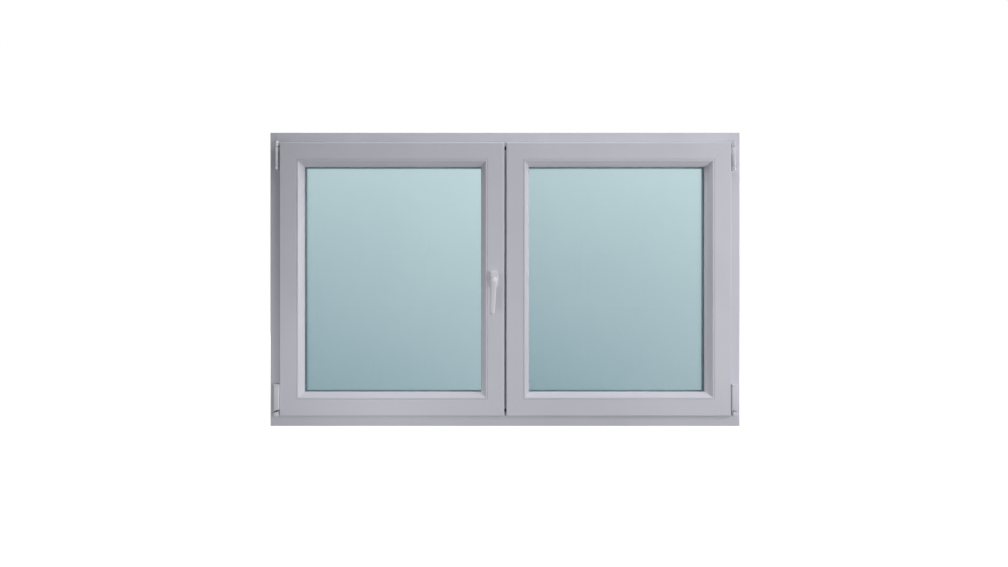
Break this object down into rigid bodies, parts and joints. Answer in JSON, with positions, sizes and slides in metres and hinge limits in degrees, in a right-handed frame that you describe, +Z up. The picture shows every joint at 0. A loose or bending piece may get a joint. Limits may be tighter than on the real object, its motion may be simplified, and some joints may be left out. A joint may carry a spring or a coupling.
{
  "type": "two-leaf tilt-and-turn casement window",
  "caption": "White PVC-U window with a handled tilt-and-turn leaf on the left, a turn-only leaf with a floating mullion on the right, and double glazing.",
  "frame": {"origin": "middle of the frame's underside, the face that stands on the wall opening's sill", "axes": "+X across the window to the right seen from the room, +Y to the outside, +Z up; the room is at -Y"},
  "size_m": [1.6, 0.14, 1],
  "materials": {
    "white_pvc": "satin extruded PVC-U",
    "galvanised_steel": "zinc-coated steel tube",
    "grey_seal": "matt extruded rubber seal",
    "glazing_seal": "light grey co-extruded glazing seal",
    "glass": "clear float glass with a pale green-blue tint",
    "spacer_bar": "light grey lacquered aluminium spacer",
    "block_plastic": "moulded polyamide",
    "plated_steel": "silver zinc-plated steel",
    "white_hinge_metal": "white powder-coated casting",
    "white_cap_plastic": "moulded white cover",
    "white_handle_metal": "white powder-coated aluminium"
  },
  "bodies": {
    "frame": {"frame_sill": "white_pvc", "frame_head": "white_pvc", "frame_jamb_left": "white_pvc", "frame_jamb_right": "white_pvc", "frame_steels": "galvanised_steel", "frame_seal": "grey_seal", "head_keep": "plated_steel", "bolt_keeps": "plated_steel", "corner_bearings": "plated_steel", "bearing_caps": "white_cap_plastic", "stay_bearings": "white_hinge_metal", "stay_pins": "plated_steel", "bearing_screws": "plated_steel"},
    "active_knuckle": {"active_swivel_cup": "plated_steel"},
    "active_sash": {"active_rail_bottom": "white_pvc", "active_rail_top": "white_pvc", "active_stile_hinge": "white_pvc", "active_stile_lock": "white_pvc", "active_steels": "galvanised_steel", "active_flange_seal": "grey_seal", "active_pane_inner": "glass", "active_pane_outer": "glass", "active_spacer": "spacer_bar", "active_glazing_gasket": "glazing_seal", "active_setting_blocks": "block_plastic", "active_bead_rails": "white_pvc", "active_bead_stiles": "white_pvc", "lock_faceplate": "plated_steel", "gearbox": "plated_steel", "stay_guide": "plated_steel", "handle_rosette": "white_handle_metal", "handle_screws": "plated_steel", "active_lower_band": "plated_steel", "active_band_cover": "white_cap_plastic"},
    "stay_arm": {"stay_arm": "plated_steel"},
    "handle": {"handle_lever": "white_handle_metal", "handle_spindle": "plated_steel"},
    "lock_rod": {"lock_rod": "plated_steel"},
    "top_rod": {"top_rod": "plated_steel"},
    "passive_sash": {"passive_rail_bottom": "white_pvc", "passive_rail_top": "white_pvc", "passive_stile_meeting": "white_pvc", "passive_stile_hinge": "white_pvc", "passive_steels": "galvanised_steel", "passive_flange_seal": "grey_seal", "passive_pane_inner": "glass", "passive_pane_outer": "glass", "passive_spacer": "spacer_bar", "passive_glazing_gasket": "glazing_seal", "passive_setting_blocks": "block_plastic", "passive_bead_rails": "white_pvc", "passive_bead_stiles": "white_pvc", "passive_top_band": "plated_steel", "passive_lower_band": "plated_steel", "passive_band_cover": "white_cap_plastic", "mullion_profile": "white_pvc", "mullion_caps": "block_plastic", "mullion_keeps": "plated_steel"},
    "edge_bolt_top": {"edge_bolt_top": "plated_steel"},
    "edge_bolt_bottom": {"edge_bolt_bottom": "plated_steel"}
  },
  "joints": [
    {"name": "active_turn", "type": "hinge", "parent": "frame", "child": "active_knuckle", "pos_m": [-0.7735, -0.047, 0.045], "axis": [0, 0, -1], "range_deg": [0, 95]},
    {"name": "active_tilt", "type": "hinge", "parent": "active_knuckle", "child": "active_sash", "pos_m": [-0.7735, -0.047, 0.045], "axis": [1, 0, 0], "range_deg": [0, 8]},
    {"name": "stay_arm_swing", "type": "hinge", "parent": "active_knuckle", "child": "stay_arm", "pos_m": [-0.7735, -0.047, 0.95], "axis": [0, 0, -1], "range_deg": [0, 18]},
    {"name": "handle_turn", "type": "hinge", "parent": "active_sash", "child": "handle", "pos_m": [-0.0385, -0.055, 0.5], "axis": [0, 1, 0], "range_deg": [0, 180]},
    {"name": "lock_rod_slide", "type": "slide", "parent": "active_sash", "child": "lock_rod", "axis": [0, 0, 1], "range_m": [0, 0.036]},
    {"name": "top_rod_slide", "type": "slide", "parent": "active_sash", "child": "top_rod", "axis": [-1, 0, 0], "range_m": [0, 0.036]},
    {"name": "passive_turn", "type": "hinge", "parent": "frame", "child": "passive_sash", "pos_m": [0.7735, -0.047, 0.045], "axis": [0, 0, 1], "range_deg": [0, 85.5]},
    {"name": "edge_bolt_top_slide", "type": "slide", "parent": "passive_sash", "child": "edge_bolt_top", "axis": [0, 0, 1], "range_m": [0, 0.02]},
    {"name": "edge_bolt_bottom_slide", "type": "slide", "parent": "passive_sash", "child": "edge_bolt_bottom", "axis": [0, 0, -1], "range_m": [0, 0.02]}
  ],
  "couplings": [
    {"joint": "stay_arm_swing", "follows": "active_tilt", "ratio": 2.25},
    {"joint": "lock_rod_slide", "follows": "handle_turn", "m_per_rad": 0.011459},
    {"joint": "top_rod_slide", "follows": "handle_turn", "m_per_rad": 0.011459},
    {"joint": "passive_turn", "follows": "active_turn", "ratio": 0.9}
  ]
}
